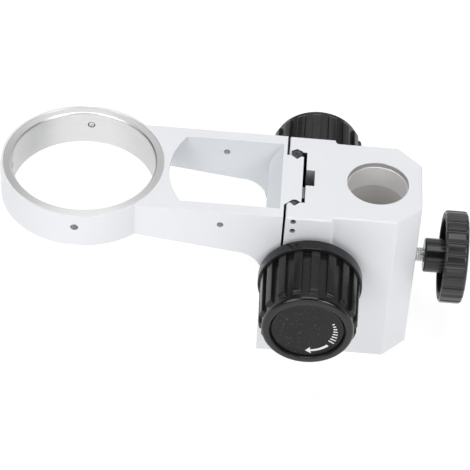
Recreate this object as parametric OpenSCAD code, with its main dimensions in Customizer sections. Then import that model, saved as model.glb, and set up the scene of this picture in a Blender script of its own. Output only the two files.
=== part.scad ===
// Focusing stand for a stereo microscope: a rack-and-pinion focus block that
// clamps on a round post and carries a ring arm for the microscope body.
// +Z is up along the post, -X points to the ring, the origin is on the post
// axis at the underside of the focus block. All dimensions are millimetres.

/* [Focus block] */
// Height of the focus block casting
body_h = 101; // [96:0.5:110]
// Half width of the front part of the casting
front_half_w = 32.4; // [32.4:0.1:32.8]
// Half width of the rear part of the casting, around the post
rear_half_w = 29.6; // [28:0.1:31]
// Distance of the rear face behind the post axis, at the top
rear_x = 23.7; // [22:0.1:25]
// Draft of the rear and chamfer faces over the height of the casting
rear_draft = 1.3; // [0.5:0.1:1.5]
// Edge radius of the vertical corners
corner_r = 0.8; // [0.4:0.1:1.2]

/* [Post bore] */
// Diameter of the guiding lands in the post bore (for a 32 mm post)
post_bore_d = 32.1; // [31.9:0.05:32.3]
// Diameter of the relief between the two lands
post_relief_d = 33.2; // [32.8:0.1:33.6]
// Length of each guiding land
post_land = 13; // [8:0.5:16]
// Diameter of the lead-in at the upper mouth
post_lead_d = 32.7; // [32.5:0.05:32.8]

/* [Ring arm] */
// Distance from the post axis to the ring centre
ring_x = 157; // [150:0.5:165]
// Bore of the ring (for a 76 mm microscope body)
ring_bore_d = 76.3; // [76.1:0.05:76.5]
// Outside diameter of the ring
ring_d = 88.4; // [87:0.1:90]
// Height of the ring
ring_h = 20.6; // [18:0.1:22]
// Half width over the two arms
arm_half_w = 32.2; // [31.5:0.1:32.3]
// Thickness of each arm
arm_t = 6.6; // [5:0.1:8]
// Thickness of the web between ring and window
web_t = 3; // [2.4:0.1:8]
// Diameter of the tapped accessory holes in the arms
accessory_d = 3.4; // [3.2:0.1:4.2]

/* [Focus drive] */
// Module of rack and pinion
gear_module = 0.8; // [0.8:0.1:0.8]
// Number of pinion teeth
pinion_teeth = 12; // [12:1:12]
// Height of the pinion axis above the underside
pinion_z = 61; // [56:1:66]
// Diameter of the pinion shaft in its bushes
shaft_d = 10; // [9.6:0.1:10]
// Outside diameter of the knob flange
knob_flange_d = 55.6; // [54.6:0.2:57]
// Outside diameter over the grip pads at the flange end
knob_pad_d = 53.2; // [51:0.2:53.4]
// Diameter of the knob between the pads
knob_core_d = 48.6; // [47:0.2:49]
// Number of grip pads
knob_pads = 18; // [12:1:24]
// Width of the grooves between the pads
knob_groove_w = 4.2; // [3:0.1:5]
// Overall width over both focus knobs
knob_span = 149.6; // [148:0.2:152]

/* [Post clamp] */
// Height of the clamp screw above the underside
clamp_z = 51.4; // [46:0.2:56]
// Thread diameter of the clamp screw
clamp_screw_d = 8; // [7.6:0.1:8]
// Diameter of the clamp knob
clamp_knob_d = 50.8; // [47:0.2:52]
// Number of grip grooves in the clamp knob rim
clamp_grooves = 24; // [18:1:30]

/* [Screws] */
// Thread diameter of the three ring set screws
ring_screw_d = 4; // [3.8:0.1:4]
// Thread diameter of the gib set screws
gib_screw_d = 3; // [2.6:0.1:3]

/* [Hidden] */
$fn = 96;

// Plan positions of the slide, all along X from the post axis
front_x = -47.95;       // front face of the focus block
plate_x = -49.15;       // rear face of the carriage plate
tongue_x = -40.1;       // tip of the carriage tongue
floor_x = -38.4;        // floor of the slide channel
notch_x = -33.8;        // bottom of the rack relief
step_x = -23;           // where the casting steps in to the rear width
pinion_x = -31.9;       // pinion axis
far_bar = [[-43.8, 14.3], [-40.8, 17.4], [-40.8, 20.6], [-43.8, 22.4],
           [-46.8, 20.6], [-46.8, 17.4]];
near_bar = [[-43.75, -22.5], [-41.1, -19.85], [-42.8, -18.05],
            [-44.7, -18.05], [-46.4, -19.85]];
gib_z = [98.35, 91.9, 9.1, 2.65];
gib_x = -43.75;

// Gear figures
pitch = PI * gear_module;
pitch_r = gear_module * pinion_teeth / 2;
backlash = 0.12;
base_r = pitch_r * cos(20);
tip_r = pitch_r + 0.7;
root_r = pitch_r - 0.9;
rack_pitch_x = pinion_x - pitch_r;
rack_crest_x = rack_pitch_x + 0.5;
rack_root_x = rack_pitch_x - 0.9;
rack_lo = 10;
rack_hi = 90;
rack_half_w = 4.5;
rack_screw_z = [17, 83];

// Knob stations measured outwards from the middle plane
bush_in = 22;
washer_in = 32.5;
washer_out = 33.3;
hub_face = 33.4;
flange_in = 34.6;
flange_out = 41.3;
pad_out = 70.1;
knob_out = knob_span / 2;
cap_out = knob_out - 1.4;
cap_r = 19.2;
hub_out = 52;

// Ring set screws
ring_screw_z = body_h - 8.2;
ring_flat = ring_d / 2 - 0.45;

// Points on an arc, both ends included
function arc(cx, cy, r, a0, a1, n = 6) =
    [for (i = [0:n]) let(a = a0 + (a1 - a0) * i / n) [cx + r * cos(a), cy + r * sin(a)]];
// Involute function in degrees for a pressure angle a
function inv(a) = tan(a) * 180 / PI - a;
// Half angle of a pinion tooth at radius r
function tooth_half(r) = (pitch / 2 - backlash / 2) / 2 / pitch_r * 180 / PI
    + inv(20) - (r > base_r ? inv(acos(base_r / r)) : 0);
function polar(r, a) = [r * cos(a), r * sin(a)];

// Extrudes an X-Z outline along Y, from y0 to y1
module along_y(y0, y1) {
    translate([0, y1, 0]) rotate([90, 0, 0]) linear_extrude(y1 - y0) children();
}
// Cylinder along Y from y0 to y1
module cyl_y(x, z, r, y0, y1) {
    translate([x, y0, z]) rotate([-90, 0, 0]) cylinder(r = r, h = y1 - y0);
}
// Cylinder along X from x0 to x1
module cyl_x(y, z, r, x0, x1) {
    translate([x0, y, z]) rotate([0, 90, 0]) cylinder(r = r, h = x1 - x0);
}
// Places a knob drawn along +Z onto the near (-1) or far (1) end of the shaft
module on_shaft(side) {
    translate([pinion_x, 0, pinion_z]) rotate([-90 * side, 0, 0]) children();
}

// ---------------------------------------------------------------- focus block
// Corners of the rear at the underside, where the draft has widened it
rear_low = rear_x + rear_draft;
chamfer_low = rear_x - 13.2 + 1.425 * rear_draft;
draft_angle = atan(rear_draft / body_h);

// Half space behind a wall that leans inwards with height, along local X
module leaning_wall(x, y, turn) {
    translate([x, y, 0]) rotate([0, 0, turn]) rotate([0, -draft_angle, 0])
        translate([0, -60, -5]) cube([20, 120, body_h + 15]);
}

module body_outline() {
    polygon(concat(
        arc(front_x + corner_r, -front_half_w + corner_r, corner_r, 180, 270),
        arc(step_x - corner_r, -front_half_w + corner_r, corner_r, 270, 360),
        arc(step_x + 2, -rear_half_w - 2, 2, 180, 90),
        [[chamfer_low, -rear_half_w], [rear_low, -rear_half_w + 13 - 0.42 * rear_draft],
         [rear_low, rear_half_w - 13 + 0.42 * rear_draft], [chamfer_low, rear_half_w]],
        arc(step_x + 2, rear_half_w + 2, 2, 270, 180),
        arc(step_x - corner_r, front_half_w - corner_r, corner_r, 0, 90),
        arc(front_x + corner_r, front_half_w - corner_r, corner_r, 90, 180),
        // far wall of the slide channel with the seat of the fixed bar
        [[front_x, 17.6], [-46.84, 17.6], [-46.84, 20.63], [-43.8, 22.46],
         [-40.76, 20.63], [-40.76, 20], [floor_x, 20],
         // floor with the rack relief
         [floor_x, 6.1], [notch_x, 6.1], [notch_x, -6.1], [floor_x, -6.1],
         // near wall with the seat of the adjustable bar
         [floor_x, -19.6], [-40.79, -19.6], [-43.75, -22.56],
         [-46, -20.31], [-46.6, -20.31], [front_x, -21.95]]));
}

module focus_body() {
    color("white") difference() {
        linear_extrude(body_h) body_outline();
        // draft of the rear face and of the two chamfers
        leaning_wall(rear_low, 0, 0);
        for (s = [-1, 1]) leaning_wall(chamfer_low, s * rear_half_w, s * 45.44);
        // post bore: two lands with a relief between and a lead-in at the top
        translate([0, 0, -1]) cylinder(d = post_bore_d, h = body_h + 2, $fn = 128);
        translate([0, 0, post_land]) rotate_extrude($fn = 128)
            polygon([[0, 0], [post_bore_d / 2, 0], [post_relief_d / 2, 2],
                     [post_relief_d / 2, body_h - 5 - 2 * post_land],
                     [post_bore_d / 2, body_h - 3 - 2 * post_land],
                     [0, body_h - 3 - 2 * post_land]]);
        translate([0, 0, body_h - 3]) cylinder(d = post_lead_d, h = 4, $fn = 128);
        // tapped hole of the clamp screw through the rear wall
        cyl_x(0, clamp_z, clamp_screw_d / 2 + 0.03, 10, rear_x + 3);
        // pinion shaft tunnel and bush seats
        cyl_y(pinion_x, pinion_z, 6.2, -40, 40);
        cyl_y(pinion_x, pinion_z, 8, bush_in, 40);
        cyl_y(pinion_x, pinion_z, 8, -40, -bush_in);
        // tapped holes of the gib screws
        for (z = gib_z) cyl_y(gib_x, z, gib_screw_d / 2 + 0.02, -34, -21.5);
    }
}

module guide_bar_far() {
    color("dimgray") translate([0, 0, 1.5]) linear_extrude(body_h - 2) polygon(far_bar);
}

module gib_bar_near() {
    color("dimgray") translate([0, 0, 1.5]) linear_extrude(body_h - 2) polygon(near_bar);
}

// Socket set screw along +Z, with its socket at the top
module set_screw(d, len, socket) {
    difference() {
        union() {
            translate([0, 0, 0.5]) cylinder(d = d, h = len - 0.5);
            cylinder(d1 = d - 1, d2 = d, h = 0.5);
        }
        translate([0, 0, len - len * 0.45]) cylinder(d = socket / cos(30), h = len, $fn = 6);
    }
}

module gib_screws() {
    color("gray") for (z = gib_z)
        translate([gib_x, -22.62, z]) rotate([90, 0, 0]) set_screw(gib_screw_d, 8, 1.5);
}

// Plain plummer bush pressed into the casting, along +Z from bush_in outwards
module shaft_bush() {
    difference() {
        translate([0, 0, bush_in]) cylinder(r = 7.99, h = front_half_w - bush_in);
        translate([0, 0, bush_in - 1]) cylinder(d = shaft_d + 0.08, h = 20);
    }
}
module shaft_bush_near() { color("goldenrod") on_shaft(-1) shaft_bush(); }
module shaft_bush_far() { color("goldenrod") on_shaft(1) shaft_bush(); }

// ------------------------------------------------------------------- carriage
// Side view of arms and plate: the arms taper slightly and sweep into the plate
module arm_side() {
    polygon(concat(
        [[plate_x, 0.2], [plate_x, body_h], [-ring_x + 30, body_h],
         [-ring_x + 30, body_h - 20.4], [-73.3, body_h - 27.6]],
        arc(-73, body_h - 42.6, 15, 91, 0, 12),
        [[-57.4, 0.2]]));
}
// Side view of the opening between the arms: its plate end slopes outwards
module window_side() {
    polygon([[-120, 20], [-58, 20], [-58.2, body_h - 12.5],
             [-51.1, body_h], [-51.1, body_h + 5], [-120, body_h + 5]]);
}
module tongue_outline() {
    polygon([[plate_x - 1, 17.1], [plate_x - 1, -22.26], [plate_x, -22.26],
             [-46.75, -20.1], [-46.6, -19.75], [-44.75, -17.98],
             [-42.75, -17.98], [-41, -19.3], [tongue_x, -19.3],
             [tongue_x, 16.4], [-41.615, 16.4], [-43.8, 14.215],
             [-46.685, 17.1]]);
}

module ring_carriage() {
    color("white") difference() {
        union() {
            // arms, web and plate
            intersection() {
                difference() {
                    along_y(-arm_half_w, arm_half_w) arm_side();
                    intersection() {
                        along_y(-arm_half_w + arm_t, arm_half_w - arm_t) window_side();
                        translate([-64.2, 0, 0]) cylinder(r = 46.9, h = 200, $fn = 128);
                    }
                    // hollow under the web, as far as the ring
                    translate([-ring_x, -arm_half_w + arm_t, -1])
                        cube([56, 2 * (arm_half_w - arm_t), body_h - web_t + 1]);
                }
                // rounded rear corners of the plate
                linear_extrude(200) polygon(concat(
                    arc(plate_x - corner_r, arm_half_w - corner_r, corner_r, 0, 90),
                    [[-ring_x - 10, arm_half_w], [-ring_x - 10, -arm_half_w]],
                    arc(plate_x - corner_r, -arm_half_w + corner_r, corner_r, 270, 360)));
            }
            // ring with three spot flats for the set screws
            intersection() {
                translate([-ring_x, 0, body_h - ring_h]) cylinder(d = ring_d, h = ring_h, $fn = 160);
                translate([-ring_x - ring_flat, -ring_flat, 0]) cube([2 * ring_d, 2 * ring_flat, 200]);
            }
            // slide tongue
            translate([0, 0, 0.2]) linear_extrude(body_h - 0.2) tongue_outline();
        }
        // bore of the ring with its top chamfer
        translate([-ring_x, 0, body_h - ring_h - 1]) cylinder(d = ring_bore_d, h = ring_h + 2, $fn = 160);
        translate([-ring_x, 0, body_h - 1.1]) cylinder(d1 = ring_bore_d, d2 = ring_bore_d + 2.4, h = 1.2, $fn = 160);
        // tapped holes of the ring set screws
        cyl_y(-ring_x, ring_screw_z, ring_screw_d / 2 + 0.05, -60, 60);
        cyl_x(0, ring_screw_z, ring_screw_d / 2 + 0.05, -ring_x - 60, -ring_x);
        // tapped accessory holes through both arms
        cyl_y(-81.7, body_h - 9, accessory_d / 2, -60, 60);
        // tapped holes of the rack screws
        for (z = rack_screw_z) cyl_x(0, z, 1.52, -47.2, -30);
    }
}

module rack_outline() {
    half = (pitch / 2 - backlash / 2) / 2;
    hc = half - 0.5 * tan(20);
    hr = half + 0.9 * tan(20);
    polygon(concat(
        [[tongue_x, rack_lo], [rack_crest_x, rack_lo]],
        [[rack_crest_x, pinion_z - 14 * pitch + hc], [rack_root_x, pinion_z - 14 * pitch + hr]],
        [for (k = [-13:9]) for (p = [[rack_root_x, -hr], [rack_crest_x, -hc],
                                     [rack_crest_x, hc], [rack_root_x, hr]])
            [p[0], pinion_z + k * pitch + p[1]]],
        [[rack_root_x, pinion_z + 10 * pitch - hr], [rack_crest_x, pinion_z + 10 * pitch - hc],
         [rack_crest_x, rack_hi], [tongue_x, rack_hi]]));
}

module rack() {
    color("silver") difference() {
        along_y(-rack_half_w, rack_half_w) rack_outline();
        for (z = rack_screw_z) {
            cyl_x(0, z, 1.6, -50, -30);
            cyl_x(0, z, 2.85, rack_root_x - 0.1, -30);
            translate([rack_root_x - 1.4, 0, z]) rotate([0, 90, 0])
                cylinder(r1 = 1.6, r2 = 2.85, h = 1.3);
        }
    }
}

module rack_screws() {
    color("gray") for (z = rack_screw_z) difference() {
        union() {
            cyl_x(0, z, 1.5, -46.8, rack_root_x - 1.2);
            translate([rack_root_x - 1.4, 0, z]) rotate([0, 90, 0])
                cylinder(r1 = 1.5, r2 = 2.7, h = 1.2);
        }
        translate([rack_root_x - 1.1, 0, z]) rotate([0, 90, 0]) cylinder(r = 1.15, h = 2, $fn = 6);
    }
}

// ----------------------------------------------------------------- pinion set
module pinion_outline() {
    step = 360 / pinion_teeth;
    rs = [base_r, pitch_r - 0.1, pitch_r + 0.2, pitch_r + 0.45, tip_r];
    polygon([for (i = [0:pinion_teeth - 1]) let(a = 180 + step / 2 + step * i)
        each concat([polar(root_r, a - tooth_half(base_r))],
                    [for (r = rs) polar(r, a - tooth_half(r))],
                    [for (j = [4:-1:0]) polar(rs[j], a + tooth_half(rs[j]))],
                    [polar(root_r, a + tooth_half(base_r))])]);
}

module pinion_shaft() {
    color("silver") difference() {
        union() {
            // shaft left and right of the teeth
            cyl_y(pinion_x, pinion_z, shaft_d / 2, -33.35, -5.5);
            cyl_y(pinion_x, pinion_z, shaft_d / 2, 5.5, 33.35);
            translate([pinion_x, 5.5, pinion_z]) rotate([90, 0, 0]) linear_extrude(11) pinion_outline();
            // threaded near end and plain far end
            cyl_y(pinion_x, pinion_z, 4, -54, -33.3);
            cyl_y(pinion_x, pinion_z, 4, 33.3, hub_out - 0.1);
        }
        // tapped hole in the far end
        cyl_y(pinion_x, pinion_z, 2, 38, 60);
    }
}

module friction_washer() {
    difference() {
        translate([0, 0, washer_in]) cylinder(r = 8.8, h = washer_out - washer_in);
        translate([0, 0, washer_in - 1]) cylinder(r = 5.15, h = 4);
    }
}
module friction_washer_near() { color("ivory") on_shaft(-1) friction_washer(); }
module friction_washer_far() { color("ivory") on_shaft(1) friction_washer(); }

// Conical spring washer in the hub pocket of the tension knob
module spring_washer() {
    color("silver") on_shaft(-1) rotate_extrude()
        polygon([[5.3, 33.45], [5.3, 34.05], [9, 34.95], [9, 34.35]]);
}

// Focus knob along +Z. pocket_r and pocket_z open the hub for the spring washer
module knob_shell(pocket_r, pocket_z) {
    difference() {
        union() {
            rotate_extrude($fn = 128) polygon(concat(
                [[0, hub_face], [13, hub_face], [14.2, flange_in]],
                [[knob_flange_d / 2 - 0.5, flange_in], [knob_flange_d / 2, flange_in + 0.5],
                 [knob_flange_d / 2, flange_out - 0.4], [knob_flange_d / 2 - 0.4, flange_out]],
                [[knob_core_d / 2, flange_out], [knob_core_d / 2 - 0.2, pad_out + 1]],
                arc(knob_core_d / 2 - 2.2, knob_out - 2, 2, 0, 90, 6),
                [[cap_r + 0.9, knob_out], [cap_r + 0.1, knob_out - 0.8],
                 [0, knob_out - 0.8]]));
            // grip pads with a little draft
            difference() {
                translate([0, 0, flange_out - 0.5]) cylinder(d1 = knob_pad_d,
                    d2 = knob_pad_d - 1.4, h = pad_out - flange_out + 0.5, $fn = 128);
                for (i = [0:knob_pads - 1]) rotate([0, 0, 360 * i / knob_pads])
                    translate([knob_core_d / 2 - 0.3, -knob_groove_w / 2, flange_out])
                        cube([10, knob_groove_w, 60]);
            }
        }
        // seat of the cap, cavity behind it and hub pocket
        translate([0, 0, cap_out - 1.5]) cylinder(r = cap_r + 0.1, h = 10);
        rotate_extrude() polygon([[10, 38.5], [17.8, 38.5], [17.8, cap_out - 1], [0, cap_out - 1],
                                  [0, hub_out + 0.05], [10, hub_out + 0.05]]);
        translate([0, 0, hub_face - 1]) cylinder(r = 8, h = 40);
        translate([0, 0, hub_face - 1]) cylinder(r = pocket_r, h = pocket_z - hub_face + 1);
    }
}
// Brass hub moulded into a knob, from z0 to the hub face
module knob_hub(z0, bore_r) {
    difference() {
        translate([0, 0, z0]) cylinder(r = 7.99, h = hub_out - z0);
        translate([0, 0, z0 - 1]) cylinder(r = bore_r, h = 40);
    }
}
module knob_disc() {
    translate([0, 0, cap_out - 1.5]) cylinder(r = cap_r, h = 1.5, $fn = 128);
}

module tension_knob() { color("darkslategray") on_shaft(-1) rotate([0, 0, 17]) knob_shell(9.5, 35.1); }
module tension_knob_insert() { color("goldenrod") on_shaft(-1) knob_hub(35.1, 4.05); }
module tension_knob_cap() { color("black") on_shaft(-1) knob_disc(); }
module far_knob() { color("darkslategray") on_shaft(1) rotate([0, 0, 16.4]) knob_shell(8, 33.5); }
module far_knob_insert() { color("goldenrod") on_shaft(1) knob_hub(hub_face, 4.01); }
module far_knob_cap() { color("black") on_shaft(1) knob_disc(); }
module far_knob_screw() {
    color("gray") on_shaft(1) difference() {
        union() {
            translate([0, 0, 40]) cylinder(r = 1.98, h = hub_out - 39.9);
            translate([0, 0, hub_out + 0.05]) cylinder(r = 5.4, h = 3.2);
        }
        translate([0, 0, hub_out + 1.2]) cylinder(r = 1.75, h = 5, $fn = 6);
    }
}

// ----------------------------------------------------------------- post clamp
module clamp_knob() {
    r = clamp_knob_d / 2;
    color("darkslategray") translate([0, 0, clamp_z]) rotate([0, 90, 0]) difference() {
        rotate_extrude($fn = 128) polygon(concat(
            [[3.99, 29.9], [8.5, 29.9], [9.4, 30.8], [9.4, 42.6], [20.6, 42.6]],
            [[20.6, 40.1], [21.1, 39.6]],
            arc(r - 1.9, 41.5, 1.9, 300, 360, 4),
            arc(r - 2.1, 50.3, 2.1, 0, 75, 5),
            [[15, 52.9], [14.2, 52.4], [0, 52.4], [0, 50], [3.99, 50]]));
        // grip grooves round the rim
        for (i = [0:clamp_grooves - 1]) rotate([0, 0, 360 * i / clamp_grooves - 2.3])
            translate([r + 0.3, 0, 38]) cylinder(r = 1.2, h = 20, $fn = 24);
    }
}

module clamp_screw() {
    color("silver") difference() {
        cyl_x(0, clamp_z, clamp_screw_d / 2, 19.8, 49.9);
        cyl_x(0, clamp_z, 1.55, 19, 25);
    }
}

// Brass pad on the end of the clamp screw
module clamp_shoe() {
    color("goldenrod") {
        cyl_x(0, clamp_z, 3.7, 17.1, 19.7);
        cyl_x(0, clamp_z, 1.5, 19.6, 24.6);
    }
}

// ----------------------------------------------------------- ring set screws
module ring_screw_near() {
    color("silver") translate([-ring_x, -38.4, ring_screw_z]) rotate([90, 0, 0])
        set_screw(ring_screw_d, 4, 2);
}
module ring_screw_far() {
    color("silver") translate([-ring_x, 38.4, ring_screw_z]) rotate([-90, 0, 0])
        set_screw(ring_screw_d, 12.5, 2);
}
module ring_screw_left() {
    color("silver") translate([-ring_x - 38.4, 0, ring_screw_z]) rotate([0, -90, 0])
        set_screw(ring_screw_d, 4, 2);
}

focus_body();
ring_carriage();
guide_bar_far();
gib_bar_near();
gib_screws();
rack();
rack_screws();
pinion_shaft();
shaft_bush_near();
shaft_bush_far();
friction_washer_near();
friction_washer_far();
spring_washer();
tension_knob();
tension_knob_insert();
tension_knob_cap();
far_knob();
far_knob_insert();
far_knob_screw();
far_knob_cap();
clamp_knob();
clamp_screw();
clamp_shoe();
ring_screw_near();
ring_screw_far();
ring_screw_left();
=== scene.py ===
"""Microscope focusing stand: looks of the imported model, in metres, in the model's own frame."""
import math

import bmesh
import bpy
from mathutils import Matrix, Vector

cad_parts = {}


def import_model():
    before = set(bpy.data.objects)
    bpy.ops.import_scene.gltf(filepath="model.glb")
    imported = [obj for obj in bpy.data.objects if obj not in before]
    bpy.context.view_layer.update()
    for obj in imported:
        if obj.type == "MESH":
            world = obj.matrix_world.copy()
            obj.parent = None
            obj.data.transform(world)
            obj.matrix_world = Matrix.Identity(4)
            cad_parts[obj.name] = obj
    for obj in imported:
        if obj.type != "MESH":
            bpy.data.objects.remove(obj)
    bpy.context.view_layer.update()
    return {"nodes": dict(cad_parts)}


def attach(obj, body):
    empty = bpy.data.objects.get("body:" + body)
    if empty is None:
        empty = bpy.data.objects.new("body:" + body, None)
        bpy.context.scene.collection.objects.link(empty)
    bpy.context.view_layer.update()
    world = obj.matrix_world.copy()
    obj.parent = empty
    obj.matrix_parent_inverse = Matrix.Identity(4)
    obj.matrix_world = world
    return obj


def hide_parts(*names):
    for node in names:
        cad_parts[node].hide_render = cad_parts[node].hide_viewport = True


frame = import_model()
nodes = frame["nodes"]
scene = bpy.context.scene

# ------------------------------------------------------------------ sizes, mm
RING_X = -157.0      # ring centre
SHAFT = (-31.9, 61.0)  # pinion axis, X and Z
CLAMP_Z = 51.4
TOP = 101.0
PLATE_X = -49.15
FRONT_X = -47.95
REAR = (23.7, 25.0)     # rear face at the top and at the underside


# ------------------------------------------------------------- mesh helpers
def link(name, verts, faces, materials=()):
    me = bpy.data.meshes.new(name)
    me.from_pydata([tuple(v) for v in verts], [], faces)
    me.update()
    ob = bpy.data.objects.new(name, me)
    scene.collection.objects.link(ob)
    for m in materials:
        me.materials.append(m)
    return ob


def settle(ob):
    """Applies the object's modifiers to its mesh."""
    bpy.context.view_layer.update()
    dg = bpy.context.evaluated_depsgraph_get()
    me = bpy.data.meshes.new_from_object(ob.evaluated_get(dg), preserve_all_data_layers=True, depsgraph=dg)
    old = ob.data
    me.name = ob.name
    ob.modifiers.clear()
    ob.data = me
    bpy.data.meshes.remove(old)
    return ob


def boolean(ob, cutter, operation="DIFFERENCE"):
    m = ob.modifiers.new("cut", "BOOLEAN")
    m.object = cutter
    m.operation = operation
    m.solver = "MANIFOLD"
    settle(ob)
    bpy.data.objects.remove(cutter)
    return ob


def prism(name, outline, lo, hi, along="Z"):
    """outline rows are (u, v, share of the bevel on the corner, share on the edge to the next point)."""
    bm = bmesh.new()
    share = bm.edges.layers.float.new("bevel_weight_edge")
    put = {"Z": lambda u, v, h: (u, v, h), "Y": lambda u, v, h: (u, h, v), "X": lambda u, v, h: (h, u, v)}[along]
    a = [bm.verts.new(put(p[0], p[1], lo)) for p in outline]
    b = [bm.verts.new(put(p[0], p[1], hi)) for p in outline]
    n = len(outline)
    bm.faces.new(b)
    bm.faces.new(a[::-1])
    for i in range(n):
        j = (i + 1) % n
        bm.faces.new((a[i], a[j], b[j], b[i]))
        if len(outline[i]) > 2:
            bm.edges.get((a[i], b[i]))[share] = outline[i][2]
            bm.edges.get((a[i], a[j]))[share] = outline[i][3]
            bm.edges.get((b[i], b[j]))[share] = outline[i][3]
    bmesh.ops.recalc_face_normals(bm, faces=bm.faces)
    me = bpy.data.meshes.new(name)
    bm.to_mesh(me)
    bm.free()
    ob = bpy.data.objects.new(name, me)
    scene.collection.objects.link(ob)
    return ob


def bevel(ob, width, segments=3):
    m = ob.modifiers.new("edge", "BEVEL")
    m.limit_method = "WEIGHT"
    m.width = width
    m.segments = segments
    m.use_clamp_overlap = True
    return settle(ob)


def clean(ob, angle=0.2):
    """Joins coplanar faces and drops doubled points."""
    bm = bmesh.new()
    bm.from_mesh(ob.data)
    bmesh.ops.remove_doubles(bm, verts=bm.verts, dist=1e-4)
    bmesh.ops.dissolve_limit(bm, angle_limit=math.radians(angle), verts=bm.verts, edges=bm.edges)
    bm.to_mesh(ob.data)
    bm.free()
    return ob


def soften(ob, angle=35.0, metres=True, crease=None):
    """Smooth shading that keeps flat faces flat, and sharp lines over the given angle."""
    me = ob.data
    bm = bmesh.new()
    bm.from_mesh(me)
    for f in bm.faces:
        f.smooth = True
    limit = math.radians(angle)
    for e in bm.edges:
        e.smooth = len(e.link_faces) == 2 and e.calc_face_angle(0.0) < limit
        if crease and crease(e.verts[0].co, e.verts[1].co):
            e.smooth = False
    bm.to_mesh(me)
    if metres:
        me.transform(Matrix.Scale(0.001, 4))
    bm.free()
    m = ob.modifiers.new("normals", "WEIGHTED_NORMAL")
    m.mode = "FACE_AREA"
    m.weight = 50
    m.keep_sharp = True
    settle(ob)
    return ob


def frame_along(origin, direction, zero=(0.0, 0.0, 1.0)):
    """Matrix that takes local Z to direction and local X to zero."""
    z = Vector(direction).normalized()
    x = Vector(zero)
    x = (x - z * x.dot(z)).normalized()
    y = z.cross(x)
    m = Matrix((x, y, z)).transposed().to_4x4()
    m.translation = Vector(origin)
    return m


def lathe(name, profile, n, place=None, closed=False, materials=()):
    """Solid of revolution of (r, h) points; open profiles get flat ends."""
    place = place or Matrix.Identity(4)
    verts, faces = [], []
    for r, h in profile:
        for k in range(n):
            t = 2 * math.pi * k / n
            verts.append(place @ Vector((r * math.cos(t), r * math.sin(t), h)))
    rows = len(profile)
    for i in range(rows if closed else rows - 1):
        j = (i + 1) % rows
        for k in range(n):
            q = (k + 1) % n
            faces.append((i * n + k, i * n + q, j * n + q, j * n + k))
    if not closed:
        faces.append(tuple(range(n))[::-1])
        faces.append(tuple((rows - 1) * n + k for k in range(n)))
    return outward(link(name, verts, faces, materials))


def outward(ob):
    bm = bmesh.new()
    bm.from_mesh(ob.data)
    bmesh.ops.recalc_face_normals(bm, faces=bm.faces)
    bm.to_mesh(ob.data)
    bm.free()
    return ob


def wrap(name, rows, closed, materials=()):
    """Grid of rings with the same count; closed joins the last ring to the first."""
    n = len(rows[0])
    verts = [v for row in rows for v in row]
    faces = []
    m = len(rows)
    for i in range(m if closed else m - 1):
        j = (i + 1) % m
        for k in range(n):
            q = (k + 1) % n
            faces.append((i * n + k, i * n + q, j * n + q, j * n + k))
    if not closed:
        faces.append(tuple(range(n))[::-1])
        faces.append(tuple((m - 1) * n + k for k in range(n)))
    return outward(link(name, verts, faces, materials))


def arc(cx, cy, r, a0, a1, n):
    return [(cx + r * math.cos(math.radians(a0 + (a1 - a0) * i / n)),
             cy + r * math.sin(math.radians(a0 + (a1 - a0) * i / n))) for i in range(n + 1)]


def mouth(r, lip, h, side, n=4, over=2.0):
    """Profile points of a hole's rounded mouth at height h; side is +1 if the hole leaves upwards."""
    pts = [(r + lip * (1 - math.cos(math.radians(90 * i / n))), h - side * lip * (1 - math.sin(math.radians(90 * i / n))))
           for i in range(n + 1)]
    pts.append((r + lip, h + side * over))
    return pts if side > 0 else pts[::-1]


def hole(ob, r, lip, place, h0, h1, n=32, both=False):
    """Cuts a round hole from h0 out to the surface at h1 of the placed axis."""
    low = mouth(r, lip, h0, -1) if both else [(r, h0)]
    return boolean(ob, lathe("cutter", low + mouth(r, lip, h1, 1), n, place))


def paint_faces(ob, index, test):
    """Gives material index to the faces whose centre and normal pass the test (mm)."""
    for f in ob.data.polygons:
        if test(f.center, f.normal):
            f.material_index = index


def dress(ob, *materials):
    """Sets the materials of a finished mesh; the cuts leave an empty slot behind."""
    ob.data.materials.clear()
    for m in materials:
        ob.data.materials.append(m)
    for f in ob.data.polygons:
        f.material_index = 0


def reach(ob, x, y):
    """Greatest distance of each face's points from the vertical line at x, y."""
    v = ob.data.vertices
    return [max(math.hypot(v[i].co.x - x, v[i].co.y - y) for i in f.vertices) for f in ob.data.polygons]


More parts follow.
